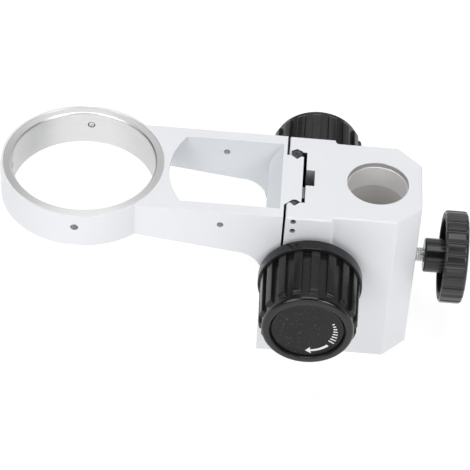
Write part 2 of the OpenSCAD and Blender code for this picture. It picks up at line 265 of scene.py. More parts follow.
# ------------------------------------------------------------------ materials
class Nodes:
    def __init__(self, name):
        self.mat = bpy.data.materials.new(name)
        self.mat.use_nodes = True
        self.t = self.mat.node_tree
        self.t.nodes.clear()
        self.out = self.t.nodes.new("ShaderNodeOutputMaterial")
        self.bsdf = self.t.nodes.new("ShaderNodeBsdfPrincipled")
        self.t.links.new(self.bsdf.outputs[0], self.out.inputs[0])
        self.coord = self.t.nodes.new("ShaderNodeTexCoord")

    def new(self, kind, **values):
        node = self.t.nodes.new("ShaderNode" + kind)
        for k, v in values.items():
            if k in node.inputs:
                self.set(node.inputs[k], v)
            else:
                setattr(node, k, v)
        return node

    def set(self, socket, value):
        if isinstance(value, bpy.types.NodeSocket):
            self.t.links.new(value, socket)
        else:
            socket.default_value = value

    def math(self, op, a, b=0.0):
        n = self.t.nodes.new("ShaderNodeMath")
        n.operation = op
        self.set(n.inputs[0], a)
        self.set(n.inputs[1], b)
        return n.outputs[0]

    def stretch(self, scale):
        n = self.t.nodes.new("ShaderNodeMapping")
        self.t.links.new(self.coord.outputs["Object"], n.inputs["Vector"])
        n.inputs["Scale"].default_value = scale
        return n.outputs[0]

    def noise(self, vector, scale, detail=2.0, rough=0.5, dims="3D"):
        n = self.t.nodes.new("ShaderNodeTexNoise")
        n.noise_dimensions = dims
        if vector is not None:
            self.t.links.new(vector, n.inputs["Vector"])
        n.inputs["Scale"].default_value = scale
        n.inputs["Detail"].default_value = detail
        n.inputs["Roughness"].default_value = rough
        return n.outputs["Fac"]

    def spread(self, value, lo, hi, to_lo, to_hi):
        n = self.t.nodes.new("ShaderNodeMapRange")
        self.t.links.new(value, n.inputs["Value"])
        n.inputs["From Min"].default_value = lo
        n.inputs["From Max"].default_value = hi
        n.inputs["To Min"].default_value = to_lo
        n.inputs["To Max"].default_value = to_hi
        return n.outputs[0]

    def blend(self, fac, a, b):
        n = self.t.nodes.new("ShaderNodeMix")
        n.data_type = "RGBA"
        self.set(n.inputs["Factor"], fac)
        self.set(n.inputs[6], a if isinstance(a, bpy.types.NodeSocket) else (*a, 1.0))
        self.set(n.inputs[7], b if isinstance(b, bpy.types.NodeSocket) else (*b, 1.0))
        return n.outputs[2]

    def bump(self, height, distance, strength=1.0, normal=None):
        n = self.t.nodes.new("ShaderNodeBump")
        n.inputs["Strength"].default_value = strength
        n.inputs["Distance"].default_value = distance
        self.t.links.new(height, n.inputs["Height"])
        if normal is not None:
            self.t.links.new(normal, n.inputs["Normal"])
        return n.outputs[0]

    def finish(self, color, rough, metal=0.0, normal=None, spec=0.5, coat=0.0, coat_rough=0.1, stretch=0.0, tangent=None):
        b = self.bsdf.inputs
        self.set(b["Base Color"], color if isinstance(color, bpy.types.NodeSocket) else (*color, 1.0))
        self.set(b["Roughness"], rough)
        b["Metallic"].default_value = metal
        b["Specular IOR Level"].default_value = spec
        b["Coat Weight"].default_value = coat
        b["Coat Roughness"].default_value = coat_rough
        b["Anisotropic"].default_value = stretch
        if tangent is not None:
            self.t.links.new(tangent, b["Tangent"])
        if normal is not None:
            self.t.links.new(normal, b["Normal"])
        return self.mat


def paint(name, color):
    """Satin powder coat: faint orange peel and slow unevenness."""
    m = Nodes(name)
    obj = m.coord.outputs["Object"]
    slow = m.noise(obj, 22.0, 3.0)
    fine = m.noise(obj, 1500.0, 2.0)
    dark = tuple(c * 0.975 for c in color)
    tone = m.blend(m.spread(slow, 0.3, 0.7, 0.0, 1.0), color, dark)
    specks = m.spread(m.noise(obj, 2600.0, 1.0), 0.70, 0.78, 0.0, 0.10)
    tone = m.blend(specks, tone, tuple(c * 0.72 for c in color))
    peel = m.bump(m.noise(obj, 950.0, 2.0), 0.000012)
    peel = m.bump(fine, 0.000005, normal=peel)
    return m.finish(tone, m.spread(m.noise(obj, 300.0, 3.0), 0.3, 0.7, 0.33, 0.43), normal=peel, spec=0.5)


def turned(name, centre, color, rough, stain=None, streak=1.0, metal=1.0, shade=None):
    """Lathe-turned metal about a vertical axis: fine rings on faces, fine lines round bores, shine across them."""
    m = Nodes(name)
    sep = m.new("SeparateXYZ", Vector=m.coord.outputs["Object"])
    dx = m.math("SUBTRACT", sep.outputs[0], centre[0])
    dy = m.math("SUBTRACT", sep.outputs[1], centre[1])
    r = m.math("SQRT", m.math("ADD", m.math("MULTIPLY", dx, dx), m.math("MULTIPLY", dy, dy)))
    turn = m.math("ARCTAN2", dy, dx)
    feed = m.new("CombineXYZ", X=m.math("MULTIPLY", r, 5200.0), Y=m.math("MULTIPLY", sep.outputs[2], 5200.0),
                 Z=m.math("MULTIPLY", turn, 0.7))
    lines = m.noise(feed.outputs[0], 1.0, 3.0, 0.6)
    wide = m.new("CombineXYZ", X=m.math("MULTIPLY", r, 700.0), Y=m.math("MULTIPLY", sep.outputs[2], 700.0),
                 Z=m.math("MULTIPLY", turn, 1.6))
    bands = m.noise(wide.outputs[0], 1.0, 3.0, 0.55)
    cloud = m.noise(m.coord.outputs["Object"], 60.0, 3.0)
    tone = m.blend(m.spread(lines, 0.3, 0.7, 0.0, 0.5 * streak), color, tuple(c * 0.84 for c in color))
    tone = m.blend(m.spread(bands, 0.35, 0.75, 0.0, 0.22 * streak), tone, tuple(c * 0.78 for c in color))
    if stain:
        tone = m.blend(m.spread(cloud, 0.4, 0.62, 0.0, 0.55), tone, stain)
    if shade:  # painted shade on the sides of a bore: darker to the left and right of the middle
        side = m.math("ABSOLUTE", m.math("DIVIDE", dx, r))
        tone = m.blend(m.spread(side, 0.25, 0.95, 0.0, 1.0), tone, shade)
    ridge = m.bump(lines, 0.000002)
    # direction across the tool marks: up a bore, outwards on a face
    round_ = m.new("CombineXYZ", X=m.math("MULTIPLY", dy, -1.0), Y=dx)
    geo = m.t.nodes.new("ShaderNodeNewGeometry")
    cross = m.t.nodes.new("ShaderNodeVectorMath")
    cross.operation = "CROSS_PRODUCT"
    m.t.links.new(geo.outputs["Normal"], cross.inputs[0])
    m.t.links.new(round_.outputs[0], cross.inputs[1])
    unit = m.t.nodes.new("ShaderNodeVectorMath")
    unit.operation = "NORMALIZE"
    m.t.links.new(cross.outputs[0], unit.inputs[0])
    return m.finish(tone, m.spread(bands, 0.3, 0.7, rough - 0.03, rough + 0.05), metal=metal, normal=ridge,
                    stretch=0.75, tangent=unit.outputs[0])


def brushed(name, color, rough, along="Z", metal=1.0, deep=0.000003):
    """Drawn or ground metal with its grain along one axis."""
    m = Nodes(name)
    scale = {"X": (60, 2600, 2600), "Y": (2600, 60, 2600), "Z": (2600, 2600, 60)}[along]
    grain = m.noise(m.stretch(scale), 1.0, 3.0, 0.6)
    cloud = m.noise(m.coord.outputs["Object"], 140.0, 3.0)
    tone = m.blend(m.spread(grain, 0.3, 0.7, 0.0, 0.6), color, tuple(c * 0.7 for c in color))
    tone = m.blend(m.spread(cloud, 0.4, 0.7, 0.0, 0.4), tone, tuple(c * 0.8 for c in color))
    return m.finish(tone, m.spread(cloud, 0.3, 0.7, rough - 0.05, rough + 0.08), metal=metal,
                    normal=m.bump(grain, deep))


def moulded(name, color, rough, grain=0.000006, scuff=0.25, lift=1.6, spec=0.5, dust=0.0):
    """Moulded plastic: fine spark texture, handling marks and slow unevenness in the shine."""
    m = Nodes(name)
    obj = m.coord.outputs["Object"]
    spark = m.noise(obj, 3200.0, 2.0)
    slow = m.noise(obj, 70.0, 4.0)
    marks = m.noise(m.stretch((900, 160, 900)), 1.0, 3.0, 0.65)
    worn = m.spread(marks, 0.62, 0.80, 0.0, scuff)
    tone = m.blend(m.spread(slow, 0.3, 0.7, 0.0, 1.0), color, tuple(c * 0.82 for c in color))
    tone = m.blend(worn, tone, tuple(min(1.0, c * lift + 0.02) for c in color))
    if dust:
        motes = m.spread(m.noise(obj, 1100.0, 2.0, 0.7), 0.66, 0.76, 0.0, 1.0)
        tone = m.blend(motes, tone, (dust, dust, dust))
    shine = m.spread(slow, 0.3, 0.7, rough - 0.05, rough + 0.07)
    return m.finish(tone, shine, normal=m.bump(spark, grain), spec=spec)


def scuffed(name, color, rough):
    """Blackened steel worn bright in short streaks."""
    m = Nodes(name)
    obj = m.coord.outputs["Object"]
    cloud = m.noise(obj, 420.0, 4.0, 0.6)
    lines = m.noise(m.stretch((700, 2400, 700)), 1.0, 3.0, 0.6)
    tone = m.blend(m.spread(cloud, 0.42, 0.60, 0.0, 1.0), color, tuple(c * 3.2 for c in color))
    tone = m.blend(m.spread(lines, 0.60, 0.72, 0.0, 0.75), tone, (0.30, 0.30, 0.31))
    return m.finish(tone, m.spread(cloud, 0.3, 0.7, rough - 0.05, rough + 0.08), metal=0.5,
                    normal=m.bump(lines, 0.000004))


WHITE = paint("white_powder_coat", (0.795, 0.806, 0.836))
# darker copy of the white paint: painted shade for the window's inner walls and the hollow under the web
WHITE_SHADED = paint("white_powder_coat_painted_shade", (0.722, 0.745, 0.772))
RING_METAL = turned("turned_aluminium_ring", (RING_X / 1000, 0.0), (0.83, 0.826, 0.825), 0.33, streak=0.7)
# ring bore: painted shade darkens its sides to the left and right of the middle
RING_BORE = turned("turned_aluminium_ring_bore", (RING_X / 1000, 0.0), (0.76, 0.757, 0.757), 0.30, streak=0.6,
                   shade=(0.62, 0.618, 0.618))
BORE_METAL = turned("turned_aluminium_bore", (0.0, 0.0), (0.97, 0.965, 0.96), 0.30, streak=0.5, metal=0.35)
RELIEF_METAL = turned("stained_aluminium_bore", (0.0, 0.0), (0.80, 0.775, 0.76), 0.40, stain=(0.70, 0.67, 0.65), metal=0.30)
# mouth of the post bore: darker metal than the land below
LEAD_METAL = turned("darker_aluminium_mouth", (0.0, 0.0), (0.60, 0.595, 0.59), 0.36, metal=0.6)
# near black for the slide way, the parting gap and the tongue: painted shade of the slot
SLOT_SHADE = moulded("slide_way_painted_shade", (0.030, 0.030, 0.032), 0.35, scuff=0.3, lift=2.5)
POCKET = brushed("milled_pocket", (0.50, 0.50, 0.505), 0.45, "Z", metal=0.3)
# bare tapped metal in the holes, darker than the paint partly as painted shade inside them
TAP_METAL = brushed("tapped_aluminium", (0.72, 0.72, 0.73), 0.45, "Y", metal=0.5)
BAR = scuffed("blackened_bar", (0.030, 0.030, 0.033), 0.36)
STEEL = brushed("ground_steel", (0.60, 0.60, 0.61), 0.30, "Y")
ZINC = brushed("zinc_plated_screw", (0.86, 0.88, 0.89), 0.25, "Y", metal=0.75, deep=0.000001)
SET_STEEL = brushed("set_screw_steel", (0.72, 0.72, 0.73), 0.30, "Y")
BLACK_SCREW = brushed("black_oxide_screw", (0.10, 0.10, 0.11), 0.38, "Y")
BRASS = brushed("turned_brass", (0.72, 0.53, 0.25), 0.32, "Y")
KNOB = moulded("black_knob_plastic", (0.0105, 0.0105, 0.011), 0.24, grain=0.000003, spec=0.36)
KNOB_NOSE = moulded("black_knob_plastic_polished", (0.0070, 0.0070, 0.0075), 0.13, grain=0.000001, spec=0.5)
CAP = moulded("black_cap_plastic", (0.0055, 0.0055, 0.006), 0.42, grain=0.00001, scuff=0.5, lift=2.6, dust=0.16, spec=0.30)
# clamp rim: lighter black as painted light standing in for the reflections on its ribs
CLAMP = moulded("black_clamp_plastic", (0.0230, 0.0230, 0.0235), 0.20, grain=0.000003)
# end face and, below, recess of the clamp knob: darker copies of its black as painted shade
CLAMP_END_SHADE = moulded("black_clamp_plastic_face_painted_shade", (0.0060, 0.0060, 0.0065), 0.24, grain=0.000003, spec=0.30)
CLAMP_HUB = moulded("black_clamp_plastic_hub", (0.0080, 0.0080, 0.0085), 0.18, grain=0.000002)
CLAMP_RECESS_SHADE = moulded("black_clamp_plastic_recess_painted_shade", (0.0022, 0.0022, 0.0024), 0.45, spec=0.12)
WASHER = moulded("washer_plastic", (0.72, 0.69, 0.60), 0.45, scuff=0.2, lift=0.9)
PRINT = moulded("white_print", (0.86, 0.86, 0.86), 0.50, scuff=0.15, lift=0.9)

# ------------------------------------------------------------ focus block
def focus_casting():
    w = 1.0
    rows = [(FRONT_X, -32.4, w, w), (-23.0, -32.4, w, w)]
    rows += [(x, y, 0.0, w) for x, y in arc(-21.3, -31.3, 1.7, 180, 90, 6)]
    rows += [(10.5, -29.6, w, w), (23.7, -16.6, w, w), (23.7, 16.6, w, w), (10.5, 29.6, w, w)]
    rows += [(x, y, 0.0, w) for x, y in arc(-21.3, 31.3, 1.7, 270, 180, 6)]
    rows += [(-23.0, 32.4, w, w), (FRONT_X, 32.4, w, w)]
    s = 0.22
    slide = [(FRONT_X, 17.6), (-46.84, 17.6), (-46.84, 20.63), (-43.8, 22.46), (-40.76, 20.63), (-40.76, 20.0),
             (-38.4, 20.0), (-38.4, 6.1), (-33.8, 6.1), (-33.8, -6.1), (-38.4, -6.1), (-38.4, -19.6),
             (-40.79, -19.6), (-43.75, -22.56), (-46.0, -20.31), (-46.6, -20.31), (FRONT_X, -21.95)]
    lips = {(FRONT_X, 17.6), (-46.84, 17.6), (-38.4, 6.1), (-38.4, -6.1), (FRONT_X, -21.95)}
    for i, p in enumerate(slide):
        rows.append((*p, s if p in lips else 0.0, w if i == len(slide) - 1 else s))
    ob = prism("focus_casting", rows, 0.0, TOP)
    for v in ob.data.vertices:  # draft of the rear face and of its chamfers
        if v.co.z < 1 and v.co.x > 5:
            v.co.x, v.co.y = (REAR[1], math.copysign(17.146, v.co.y)) if v.co.x > 20 else (12.3525, v.co.y)
    bevel(ob, 0.85)
    # post bore with its lead-in and relief
    bore = mouth(16.05, 0.25, 0.0, -1)
    bore += [(16.05, 12.8), (16.6, 13.2), (16.6, 84.8), (16.05, 85.1), (16.05, TOP - 3.12), (16.35, TOP - 3.0)]
    bore += mouth(16.35, 0.3, TOP, 1)
    boolean(ob, lathe("cutter", bore, 192))
    # clamp screw hole, shaft tunnel, gib holes
    hole(ob, 4.03, 0.4, frame_along((0, 0, CLAMP_Z), (1, 0, 0)), 10.0,
         REAR[1] + (REAR[0] - REAR[1]) * CLAMP_Z / TOP, 48)
    tunnel = mouth(8.0, 0.3, -32.4, -1) + [(8.0, -22.0), (6.2, -22.0), (6.2, 22.0), (8.0, 22.0)] + mouth(8.0, 0.3, 32.4, 1)
    boolean(ob, lathe("cutter", tunnel, 64, frame_along((SHAFT[0], 0, SHAFT[1]), (0, 1, 0))))
    for z in (98.35, 91.9, 9.1, 2.65):
        hole(ob, 1.52, 0.16, frame_along((-43.75, 0, z), (0, -1, 0)), 21.5, 32.4, 32)
    clean(ob, 0.05)
    dress(ob, WHITE, BORE_METAL, TAP_METAL, RELIEF_METAL, LEAD_METAL, SLOT_SHADE, POCKET)
    for f, far in zip(ob.data.polygons, reach(ob, 0.0, 0.0)):
        if far < 16.75 and f.center.z < TOP - 0.02:
            z = f.center.z
            f.material_index = 4 if z > TOP - 3.05 else 3 if 13.1 < z < 84.9 else 1
    # slide way and front face of the parting gap: near-black painted shade for the slot
    paint_faces(ob, 5, lambda c, n: -47.0 < c.x < -38.3 and abs(c.y) < 22.7 and abs(n.z) < 0.3)
    paint_faces(ob, 5, lambda c, n: abs(c.x - FRONT_X) < 0.02 and n.x < -0.9)
    paint_faces(ob, 6, lambda c, n: -38.5 < c.x < -33.7 and abs(c.y) < 6.2 and abs(n.z) < 0.3)
    # gib holes, shaft tunnel and clamp hole: tapped bare metal, darker partly as painted shade
    paint_faces(ob, 2, lambda c, n: math.hypot(c.x + 43.75, min(abs(c.z - z) for z in (98.35, 91.9, 9.1, 2.65))) < 1.53
                and c.y < -21 and abs(n.y) < 0.3)
    paint_faces(ob, 2, lambda c, n: math.hypot(c.x - SHAFT[0], c.z - SHAFT[1]) < 8.1 and abs(c.y) < 32.0
                and (abs(n.y) < 0.5 or abs(abs(c.y) - 22) < 0.1))
    paint_faces(ob, 2, lambda c, n: math.hypot(c.y, c.z - CLAMP_Z) < 4.1 and c.x > 16.7 and abs(n.x) < 0.5)
    return soften(ob)


# --------------------------------------------------------------- carriage
def ring_carriage():
    side = [(PLATE_X, 0.2), (PLATE_X, TOP), (-127.0, TOP), (-127.0, TOP - 20.4)]
    side += [(-73.3, TOP - 27.6)] + arc(-73.0, TOP - 42.6, 15.0, 91, 0, 14)[1:] + [(-57.4, 0.2)]
    ob = prism("carriage_casting", side, -32.2, 32.2, "Y")
    # window between the arms: straight sides, a round end and a sloping plate end
    def window(z):
        if z > TOP - 12.5:
            x1 = -51.1 + (min(z, TOP) - TOP) * 7.1 / 12.5
        else:
            x1 = -58.2 + (TOP - 12.5 - z) / (TOP - 32.5) * 0.2
        a = math.degrees(math.asin(25.6 / 46.9))
        pts = [(-64.2 + 46.9 * math.cos(math.radians(t)), 46.9 * math.sin(math.radians(t)), z)
               for t in [180 - a + 2 * a * i / 24 for i in range(25)]]
        return pts + [(x1, -25.6, z), (x1, 25.6, z)]
    boolean(ob, wrap("cutter", [window(z) for z in (20.0, TOP - 12.5, TOP, TOP + 3)], False))
    # hollow under the web, as far as the ring
    boolean(ob, prism("cutter", [(-130.0, -25.6), (-101.0, -25.6), (-101.0, 25.6), (-130.0, 25.6)], -1.0, TOP - 3.0))
    ring = lathe("ring", [(44.2, TOP - 20.6), (44.2, TOP)], 192, Matrix.Translation((RING_X, 0, 0)))
    box = prism("box", [(RING_X - 43.75, -43.75), (-60, -43.75), (-60, 43.75), (RING_X - 43.75, 43.75)], 0, 200)
    boolean(ring, box, "INTERSECT")
    boolean(ob, ring, "UNION")
    tongue = [(PLATE_X - 1, 17.1), (PLATE_X - 1, -22.26), (PLATE_X, -22.26), (-46.75, -20.1), (-46.6, -19.75),
              (-44.75, -17.98), (-42.75, -17.98), (-41.0, -19.3), (-40.1, -19.3), (-40.1, 16.4), (-41.615, 16.4),
              (-43.8, 14.215), (-46.685, 17.1)]
    boolean(ob, prism("tongue", tongue, 0.2, TOP), "UNION")
    clean(ob, 0.4)
    bm = bmesh.new()
    bm.from_mesh(ob.data)
    share = bm.edges.layers.float.get("bevel_weight_edge") or bm.edges.layers.float.new("bevel_weight_edge")
    for e in bm.edges:
        e[share] = 0.0
        if len(e.link_faces) != 2 or e.calc_face_angle(0.0) < math.radians(24) or not e.is_convex:
            continue
        a, b = e.verts[0].co, e.verts[1].co
        c = (a + b) / 2
        if c.x > PLATE_X + 0.05:
            e[share] = 0.2
        elif c.x > PLATE_X - 0.05:
            e[share] = 0.2 if abs(c.y) < 23 and c.z < TOP - 0.1 and c.z > 1 and abs(c.y) < 31 else 0.62
        elif math.hypot(c.x - RING_X, c.y) > 43.3 and c.x < -125:
            e[share] = (1.0 if c.z > TOP - 1 else 0.6) if abs(a.z - b.z) < 1 else 0.0
        else:
            e[share] = 0.75 if c.z > TOP - 1 else 0.6
    bm.to_mesh(ob.data)
    bm.free()
    bevel(ob, 1.2)
    # ring bore with rounded mouths, then the turned top face
    at = Matrix.Translation((RING_X, 0, 0))
    bore = mouth(38.15, 0.5, TOP - 20.6, -1) + mouth(38.15, 1.15, TOP - 0.15, 1, 5)
    boolean(ob, lathe("cutter", bore, 192, at))
    boolean(ob, lathe("cutter", [(42.9, TOP - 0.15), (42.95, TOP + 2)], 192, at))
    # set screw holes, arm holes, rack screw holes
    for d in ((0, -1, 0), (0, 1, 0), (-1, 0, 0)):
        hole(ob, 2.05, 0.14, frame_along((RING_X, 0, TOP - 8.2), d), 34.0, 43.75, 32)
    for s in (-1, 1):
        hole(ob, 1.7, 0.14, frame_along((-81.7, 0, TOP - 9), (0, s, 0)), 25.6, 32.2, 32, both=True)
    for z in (17.0, 83.0):
        hole(ob, 1.52, 0.0, frame_along((0, 0, z), (1, 0, 0)), -47.2, -40.1, 24)
    clean(ob, 0.05)
    dress(ob, WHITE, RING_METAL, TAP_METAL, SLOT_SHADE, RING_BORE, WHITE_SHADED)
    # window walls and the hollow under the web: darker white as painted shade
    paint_faces(ob, 5, lambda c, n: -125.0 < c.x < -50.8 and abs(c.y) < 25.7 and abs(n.z) < 0.6 and c.z < TOP - 0.8)
    # tongue and rear face of the plate: near-black painted shade of the slot
    paint_faces(ob, 3, lambda c, n: c.x > PLATE_X - 0.02 and abs(n.z) < 0.3)
    def rr(c):
        return math.hypot(c.x - RING_X, c.y)
    # set screw holes here and arm holes below: tapped bare metal, darker partly as painted shade
    paint_faces(ob, 2, lambda c, n: abs(c.z - TOP + 8.2) < 2.06 and 38.3 < rr(c) < 43.7 and c.x < -127
                and (abs(c.x - RING_X) < 2.06 or abs(c.y) < 2.06))
    for f, far in zip(ob.data.polygons, reach(ob, RING_X, 0.0)):
        if far < 38.25:
            f.material_index = 4
        elif far < 43.0 and f.center.z > TOP - 2:
            f.material_index = 1
    paint_faces(ob, 2, lambda c, n: math.hypot(c.x + 81.7, c.z - TOP + 9) < 1.72 and abs(n.y) < 0.5)

    def flat_edge(a, b):  # upright edges where the spot flats meet the round of the ring
        return (abs(a.z - b.z) > 5 and abs(a.x - b.x) < 0.05 and abs(math.hypot(a.x - RING_X, a.y) - 44.2) < 0.1
                and (abs(abs(a.y) - 43.75) < 0.05 or abs(abs(a.x - RING_X) - 43.75) < 0.05))
    return soften(ob, crease=flat_edge)


# ------------------------------------------------------------------- knobs
def on_shaft(r, angle, s, side):
    """Point of a focus knob: angle in degrees from +Z towards +X, s outwards from the middle plane."""
    t = math.radians(angle)
    return Vector((SHAFT[0] + r * math.sin(t), side * s, SHAFT[1] + r * math.cos(t)))


def focus_knob(name, side, phase, pocket_r, pocket_s):
    # angle samples over one pad, from a groove's middle, with how far the pad stands there
    half = [(0.0, 0.0), (2.3, 0.0), (4.0, 0.0), (4.55, 0.03), (4.72, 0.16), (4.84, 0.55), (4.96, 0.86), (5.15, 0.95),
            (5.5, 0.985), (6.0, 1.0), (7.3, 1.0), (8.7, 1.0)]
    ring = [(d, w) for d, w in half] + [(10.0, 1.0)] + [(20.0 - d, w) for d, w in half[:0:-1]]
    angles = [(phase + 20.0 * k + d, w) for k in range(18) for d, w in ring]
    both = [  # (s, r) in the groove, (s, r) on the pad
        ((41.28, 27.45), (41.28, 27.45)), ((41.3, 27.0), (41.3, 27.0)), ((41.3, 26.1), (41.32, 26.60)),
        ((41.3, 25.2), (41.6, 26.58)), ((41.3, 24.75), (42.0, 26.57)), ((41.38, 24.42), (42.6, 26.55)),
        ((41.7, 24.3), (43.6, 26.51)), ((44.5, 24.29), (46.0, 26.44)), ((50.0, 24.26), (52.0, 26.30)),
        ((57.0, 24.23), (58.0, 26.16)), ((63.0, 24.2), (64.0, 26.02)), ((67.9, 24.18), (68.1, 25.93)),
        ((68.8, 24.175), (69.0, 25.84)), ((69.4, 24.17), (69.6, 25.60)), ((69.8, 24.168), (69.95, 25.2)),
        ((70.1, 24.165), (70.15, 24.75)), ((70.4, 24.16), (70.3, 24.4)), ((70.8, 24.155), (70.6, 24.2)),
        ((71.2, 24.15), (71.2, 24.15))]
    plain = [(72.0, 24.14)]
    plain += [(72.8 + 2 * math.sin(math.radians(t)), 22.12 + 2 * math.cos(math.radians(t))) for t in (0, 15, 30, 45, 60, 75, 90)]
    plain += [(74.8, 21.2), (74.8, 20.35), (74.72, 20.08), (74.5, 19.95), (74.0, 19.72), (73.5, 19.55), (71.9, 19.5),
              (71.9, 18.6), (71.9, 17.8), (60.0, 17.8), (45.0, 17.8), (38.5, 17.8), (38.5, 14.0), (38.5, 10.0), (45.0, 10.0), (52.05, 10.0),
              (52.05, 8.0), (45.0, 8.0), (pocket_s, 8.0), (pocket_s, max(8.05, pocket_r)), (33.4, max(8.05, pocket_r)),
              (33.4, 12.9), (33.5, 13.2), (34.5, 14.2), (34.6, 14.5), (34.6, 20.0), (34.6, 27.1), (34.68, 27.5), (34.95, 27.74),
              (35.3, 27.8), (37.0, 27.8), (40.5, 27.8), (41.0, 27.76), (41.2, 27.66)]
    rows = []
    for g, p in both:
        rows.append([on_shaft(g[1] + (p[1] - g[1]) * w, a, g[0] + (p[0] - g[0]) * w, side) for a, w in angles])
    for s, r in plain:
        rows.append([on_shaft(r, a, s, side) for a, w in angles])
    ob = wrap(name, rows, True, [KNOB, KNOB_NOSE])
    for f in ob.data.polygons:  # the fillet round the nose is rubbed smooth
        if abs(f.center.y) > 72.9 and math.hypot(f.center.x - SHAFT[0], f.center.z - SHAFT[1]) > 20.3:
            f.material_index = 1
    return soften(ob, 42)


def knob_cap(name, side):
    prof = [(0.001, 73.1), (9.0, 73.1), (17.3, 73.1), (17.95, 73.13), (18.2, 73.26), (18.4, 73.36), (18.62, 73.4), (18.85, 73.34),
            (19.1, 73.1), (19.2, 72.8), (19.2, 72.0), (19.1, 71.9), (0.001, 71.9)]
    rows = [[on_shaft(r, 360 * k / 128, s, side) for k in range(128)] for r, s in prof]
    ob = wrap(name, rows, False, [CAP])
    return soften(ob, 50)


def cap_print(name):
    """Turning arrow and a row of growing ticks, 0.04 mm proud of the cap."""
    lo, hi = 73.08, 73.14
    verts, faces = [], []

    def plate(outline):
        base = len(verts)
        n = len(outline)
        for s in (lo, hi):
            verts.extend(on_shaft(r, a, s, -1) for r, a in outline)
        faces.append(tuple(base + i for i in range(n)))
        faces.append(tuple(base + n + i for i in range(n))[::-1])
        for i in range(n):
            j = (i + 1) % n
            faces.append((base + i, base + n + i, base + n + j, base + j))

    # arrow shaft and head as one outline: angle grows towards the tip
    shaft = [133.0 + 38.0 * i / 12 for i in range(13)]
    outer = [(16.35 - 0.15 * i / 12, a) for i, a in enumerate(shaft)]
    inner = [(14.75 + 0.15 * i / 12, a) for i, a in enumerate(shaft)]
    plate(outer + [(17.9, 169.6), (15.6, 180.5), (13.1, 169.6)] + inner[::-1])
    for k in range(8):
        a = 68.0 + 7.6 * k
        length = 1.3 + 2.2 * k / 7
        r0 = 13.5
        d = 1.55
        plate([(r0, a - d), (r0 + length, a - d * r0 / (r0 + length)), (r0 + length, a + d * r0 / (r0 + length)), (r0, a + d)])
    ob = outward(link(name, verts, faces, [PRINT]))
    return soften(ob, 30)


def clamp_knob():
    steps = [0.0, 0.30, 0.60, 0.80, 0.95, 1.08, 1.20, 1.35, 1.60, 2.1, 2.7, 3.30]
    ring = steps + [6.60 - t for t in steps[-2:0:-1]]
    ang = [(k * 15.0 + 2.3 + t / 6.60 * 15.0, min(t, 6.60 - t)) for k in range(24) for t in ring]

    def top(t):  # radius of the rim at t mm from a groove's middle
        if t < 0.80:
            d = 0.9 - 0.35 * (t / 0.8) ** 2
        elif t < 1.6:
            u = (t - 0.8) / 0.8
            d = 0.55 * (1 - u) ** 2 + 0.02 * (1 - u)
        else:
            d = 0.0
        return 25.38 - d - 0.05 * max(0.0, (3.3 - t) / 3.3)

    grip = [(39.6, 23.4), (39.65, 23.95), (39.8, 24.45), (40.05, 24.85), (40.4, 25.15), (40.9, 25.32), (41.5, 25.4), (44.0, 25.4),
            (47.0, 25.4), (50.1, 25.4), (50.8, 25.28), (51.4, 24.97), (51.85, 24.47), (52.15, 23.82), (52.3, 23.18)]
    face = [(22.0, 52.38), (20.0, 52.5), (17.5, 52.66), (15.4, 52.86), (15.0, 52.8), (14.5, 52.6), (14.2, 52.42), (13.6, 52.38),
            (8.0, 52.38), (0.001, 52.38)]
    back = [(21.3, 39.6), (20.9, 39.7), (20.65, 40.0), (20.6, 40.4), (20.6, 42.5), (20.4, 42.6), (15.0, 42.6), (9.9, 42.6),
            (9.55, 42.45), (9.4, 42.1), (9.4, 36.0), (9.4, 31.0), (9.32, 30.55), (9.08, 30.18), (8.7, 29.96), (8.3, 29.9), (4.3, 29.9),
            (4.05, 30.05), (4.0, 30.4), (4.0, 49.0), (0.001, 49.0)]

    def at(r, x, a):  # angle in degrees from -Y towards +Z
        return Vector((x, -r * math.cos(math.radians(a)), CLAMP_Z + r * math.sin(math.radians(a))))

    rows = [[at(r, x, a) for a, t in ang] for r, x in back[::-1]]
    rows += [[at(min(r, top(t)), x, a) for a, t in ang] for x, r in grip]
    rows += [[at(r, x, a) for a, t in ang] for r, x in face]
    ob = wrap("clamp_grip", rows, False, [CLAMP, CLAMP_HUB, CLAMP_RECESS_SHADE, CLAMP_END_SHADE])
    # hub gets its own black; the recess and the end face get darker black as painted shade
    for f in ob.data.polygons:
        r = math.hypot(f.center.y, f.center.z - CLAMP_Z)
        if r < 9.5 and f.center.x < 42.5:
            f.material_index = 1
        elif 9.5 < r < 20.75 and f.center.x < 42.7:
            f.material_index = 2
        elif f.center.x > 52.25 and r < 22.8:
            f.material_index = 3
        elif 20.5 < r < 23.9 and f.center.x < 40.5:
            f.material_index = 2
    return soften(ob, 42)


